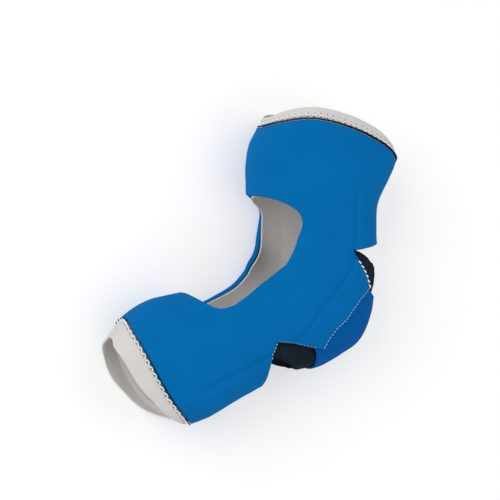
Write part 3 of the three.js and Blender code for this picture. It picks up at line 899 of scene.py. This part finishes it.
def loose_sheet(points, cells, sewn):
    """Sheet of cloth that is held at its sewn points and wants to be larger."""
    mesh = bpy.data.meshes.new("crumple")
    mesh.from_pydata((points * CRUMPLE["unit"]).tolist(), [], cells.tolist())
    sheet = bpy.data.objects.new("crumple", mesh)
    bpy.context.collection.objects.link(sheet)
    sheet.vertex_groups.new(name="sewn").add(sewn.tolist(), 1, "REPLACE")
    cloth = sheet.modifiers.new("cloth", "CLOTH")
    cloth.settings.vertex_group_mass = "sewn"
    cloth.settings.mass = CRUMPLE["mass"]
    cloth.settings.shrink_min = -CRUMPLE["growth"]
    cloth.settings.bending_stiffness = CRUMPLE["bending"]
    cloth.settings.effector_weights.gravity = 0
    cloth.point_cache.frame_start, cloth.point_cache.frame_end = 1, CRUMPLE["frames"]
    return sheet


def settled(sheet):
    """Points of the sheet after the last frame. The sheet is taken away."""
    scene = bpy.context.scene
    for number in range(1, CRUMPLE["frames"] + 1):
        scene.frame_set(number)
    result = sheet.evaluated_get(bpy.context.evaluated_depsgraph_get()).data
    points = np.empty(len(result.vertices) * 3)
    result.vertices.foreach_get("co", points)
    mesh = sheet.data
    bpy.data.objects.remove(sheet)
    bpy.data.meshes.remove(mesh)
    scene.frame_set(1)
    return points.reshape(-1, 3) / CRUMPLE["unit"]


def crumpled(grids, depth):
    """How far loose cloth with sewn edges moves outward, in millimetres."""
    places, cells = both_halves(grids, grids)
    normal = -inward(places[:, 0], places[:, 1])
    skin = at_depth(places, depth(places))
    wave = CRUMPLE["seed_wave"] * clouds(skin, CRUMPLE["wave_size"], CRUMPLE["wave_seed"])
    start = skin + normal * wave[:, None]
    sewn = np.flatnonzero(edge_distance(skin, open_edges(cells)) < CRUMPLE["pinned"])
    return ((settled(loose_sheet(start, cells, sewn)) - skin) * normal).sum(1)


def gusset_room(places):
    along, around = places[:, 0], np.abs(places[:, 1])
    behind = smooth((around - back_edge(along)) * HALF_GIRTH, *CRUMPLE_ROOM["behind"])
    cup_low, cup_high = CUP_EDGES["low"][-1][0], CUP_EDGES["high"][-1][0]
    beside = np.maximum(cup_low - along, along - cup_high) * ARM_LENGTH
    open_share = behind * smooth(beside, *CRUMPLE_ROOM["beside"])
    return CRUMPLE_ROOM["under"] + (CRUMPLE_ROOM["open"] - CRUMPLE_ROOM["under"]) * open_share


gusset_grids = patch(GUSSET_EDGES, GUSSET_GRID)
crumple = crumpled(gusset_grids, gusset_depth)


def gusset_inner(places):
    return gusset_depth(places) + GUSSET_WALL


def gusset_wave(places, points):
    room = gusset_room(places)
    return room * np.tanh(crumple / room)


gusset = cloth_wall("elbow_gusset_cloth", gusset_grids, gusset_depth, gusset_inner,
                    ROUNDING["gusset"], MATERIALS["gusset_knit"], wave=gusset_wave)
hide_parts("elbow_gusset")

CUP_GAP = SEAM_GAP / HALF_GIRTH * 1.5
CUP_PILLOW = {"rise": 1.2, "reach": 14, "drop": 0.3}
CUP_SWELLING = {"height": 0.3, "size": 18, "seed": 5, "fade": 5}


def cup_edges():
    front = [(along, around + CUP_GAP) for along, around in CUP_EDGES["front"]]
    low = [front[0], *CUP_EDGES["low"][1:]]
    high = [front[-1], *CUP_EDGES["high"][1:]]
    return {"front": front, "low": low, "high": high}


def cup_relief(places, points, distance):
    puff = CUP_SWELLING["height"] * clouds(points, CUP_SWELLING["size"], CUP_SWELLING["seed"])
    return pillow(distance, CUP_PILLOW) + puff * smooth(distance, 0, CUP_SWELLING["fade"])


# The cup's cloth carries painted shade in its darker blue.
cup = cloth_wall("elbow_cup_cloth", patch(cup_edges(), CUP_GRID), flat(0), flat(CUP_WALL),
                 ROUNDING["cup"], MATERIALS["cup_cloth"], cup_relief)
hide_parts("elbow_cup")


# Threads
THREAD_SIDES = 6
THREAD_TIP = 0.4       # of the radius
STITCH_ARCH = {"rise": 1.2, "sunk": 0.8}      # of the radius, at the middle and at the ends
SEAM_SMOOTHING = 7.0
SEAM_SAMPLES = 400
SKIN_LIFT = 0.05


def threads(name, paths, normals, radius, material):
    """Short round threads. Each path has as many points as the others, and ends drawn in."""
    paths, normals = np.array(paths), np.array(normals)
    count, length = paths.shape[:2]
    tangent = np.gradient(paths, axis=1)
    tangent /= np.linalg.norm(tangent, axis=-1, keepdims=True)
    side = np.cross(tangent, normals)
    side /= np.linalg.norm(side, axis=-1, keepdims=True)
    up = np.cross(side, tangent)
    width = np.ones(length)
    width[[0, -1]] = THREAD_TIP
    turn = np.arange(THREAD_SIDES) * 2 * math.pi / THREAD_SIDES
    ring = side[:, :, None] * np.cos(turn)[:, None] + up[:, :, None] * np.sin(turn)[:, None]
    points = paths[:, :, None] + ring * (radius * width)[None, :, None, None]
    points[..., 2] = np.maximum(points[..., 2], -REST_DEPTH)
    number = np.arange(count * length * THREAD_SIDES).reshape(count, length, THREAD_SIDES)
    after = np.roll(number, -1, axis=2)
    quads = np.stack([number[:, :-1], number[:, 1:], after[:, 1:], after[:, :-1]], -1).reshape(-1, 4)
    faces = quads.tolist() + number[:, 0].tolist() + number[:, -1, ::-1].tolist()
    new_piece(name, points.reshape(-1, 3), faces, MATERIALS[material])


# Overlock: from the binding to the collar and its thread, in millimetres
OVERLOCK = {
    "upper": {"near": 2.3, "far": 4.8, "radius": 0.6},
    "forearm": {"near": 1.6, "far": 3.1, "radius": 0.95},
}
LOOP = {"points": 9, "start": 0.06, "width": 0.88, "steepness": 0.7, "sunk": 0.6}


def rim_loops(name, cuff, form):
    """Overlock over the end of a cuff, from the binding to the collar."""
    steps = np.linspace(0, 1, LOOP["points"])
    arch = np.sin(math.pi * steps)
    radius, count = form["radius"], cuff["stitches"]
    paths, normals = [], []
    for number in range(-count, count):
        around = (number + LOOP["start"] + LOOP["width"] * steps) / count
        limit = through(cuff["reach"], np.abs(around)) * cuff["collar"]["length"] - radius
        past = np.minimum(form["near"] + (form["far"] - form["near"]) * arch, limit)
        along = through(cuff["rim"], np.abs(around)) + past * cuff["direction"] / ARM_LENGTH
        places = np.stack([along, around], -1)
        on_collar = collar_depth(places, cuff) - radius * LOOP["sunk"]
        rise = (on_collar + BINDING_PROUD) * arch ** LOOP["steepness"]
        paths.append(at_depth(places, rise - BINDING_PROUD))
        normals.append(-inward(places[:, 0], around))
    threads(name, paths, normals, radius, "white_thread")


rim_loops("upper_overlock", CUFFS["upper"], OVERLOCK["upper"])
rim_loops("forearm_overlock", CUFFS["forearm"], OVERLOCK["forearm"])

NEEDLE_MARK = {"past": 7.0, "length": 1.4, "radius": 0.4, "sunk": 0.1, "points": 5}


def needle_marks(name, cuff):
    """Short dark stitches on the outside of a collar."""
    mark, count = NEEDLE_MARK, cuff["stitches"]
    steps = np.linspace(-0.5, 0.5, mark["points"])
    paths, normals = [], []
    for number in range(-count, count):
        around = np.full(mark["points"], (number + 0.5) / count)
        reach = through(cuff["reach"], abs(around[0])) * cuff["collar"]["length"]
        if reach < mark["past"] + mark["length"]:
            continue
        distance = mark["past"] + steps * mark["length"]
        along = through(cuff["rim"], np.abs(around)) + distance * cuff["direction"] / ARM_LENGTH
        places = np.stack([along, around], -1)
        paths.append(at_depth(places, collar_depth(places, cuff) + mark["sunk"]))
        normals.append(-inward(along, around))
    threads(name, paths, normals, mark["radius"], "dark_thread")


needle_marks("needle_marks", CUFFS["upper"])


def cover_skin(places):
    return channel_relief(places) - SKIN_LIFT


def on_path(at, walked, line):
    """Points of a line at lengths walked along it."""
    return np.stack([np.interp(at, walked, line[:, k]) for k in range(3)], -1)


def seam_frame(rows, spacing, inset):
    """Points on the cover beside an edge, at even spacing, with their directions."""
    samples = np.linspace(0, 1, SEAM_SAMPLES)
    places = on_lines(rows, samples)
    line = at_depth(places, -cover_skin(places))
    walked = np.concatenate([[0], np.cumsum(np.linalg.norm(np.diff(line, axis=0), axis=1))])
    count = max(2, int(round(walked[-1] / spacing)))
    at = (np.arange(count) + 0.5) / count * walked[-1]
    places = on_lines(rows, np.interp(at, walked, samples))
    ahead = np.minimum(at + SEAM_SMOOTHING, walked[-1])
    behind = np.maximum(at - SEAM_SMOOTHING, 0)
    tangent = on_path(ahead, walked, line) - on_path(behind, walked, line)
    tangent /= np.linalg.norm(tangent, axis=-1, keepdims=True)
    normal = -inward(places[:, 0], places[:, 1])
    side = np.cross(normal, tangent)
    return on_path(at, walked, line) - side * inset, tangent, normal


STITCH_POINTS = 7


def dashes(name, rows, spacing, length, inset, radius, material, slot, height, slant):
    """Run of stitches beside an edge of both halves."""
    paths, normals = [], []
    steps = np.linspace(-0.5, 0.5, STITCH_POINTS)
    arch = 1 - (2 * steps) ** 2
    lift = radius * (arch * STITCH_ARCH["rise"] - STITCH_ARCH["sunk"]) + height
    for mirrored in (1, -1):
        edge = [(along, around * mirrored) for along, around in rows]
        point, tangent, normal = seam_frame(edge, spacing, inset * mirrored)
        side = np.cross(normal, tangent)
        for p, t, n, s in zip(point, tangent, normal, side):
            run = p + t * (steps * length)[:, None] + s * (steps * slant * mirrored)[:, None]
            paths.append(run + n * lift[:, None])
            normals.append(np.tile(n, (STITCH_POINTS, 1)))
    threads(name, paths, normals, radius, material)


SIDE = COVER_BACK["side"]
FOREARM_NOTCH = COVER_BACK["forearm"][:2]
TAB_FRONT = (0.142, 0.625)
STITCH_RUNS = (
    # name, edge, spacing, length, inset, radius, thread, slot, height, slant
    ("tab_stitches", (TAB_FRONT, SIDE[2]), 6.0, 4.4, 1.2, 0.8, "white_thread", "lining", 0.4, 0.6),
    ("cup_seam", SIDE[2:8], 3.8, 2.5, 1.6, 0.34, "pale_thread", "lining", 0.15, 0),
    # notch_stitches use a thread colour with painted shade.
    ("notch_stitches", SIDE[8:11], 4.9, 2.2, 1.8, 0.7, "painted_shade_thread", "cup", 0.2, 0),
    ("notch_scallops", SIDE[8:11], 4.9, 3.0, 0.3, 0.6, "dark_thread", "binding", 0.1, 0),
    ("forearm_notch", FOREARM_NOTCH, 3.6, 2.0, 0.5, 0.42, "pale_thread", "lining", 0.15, 0),
)
for stitch_run in STITCH_RUNS:
    dashes(*stitch_run)
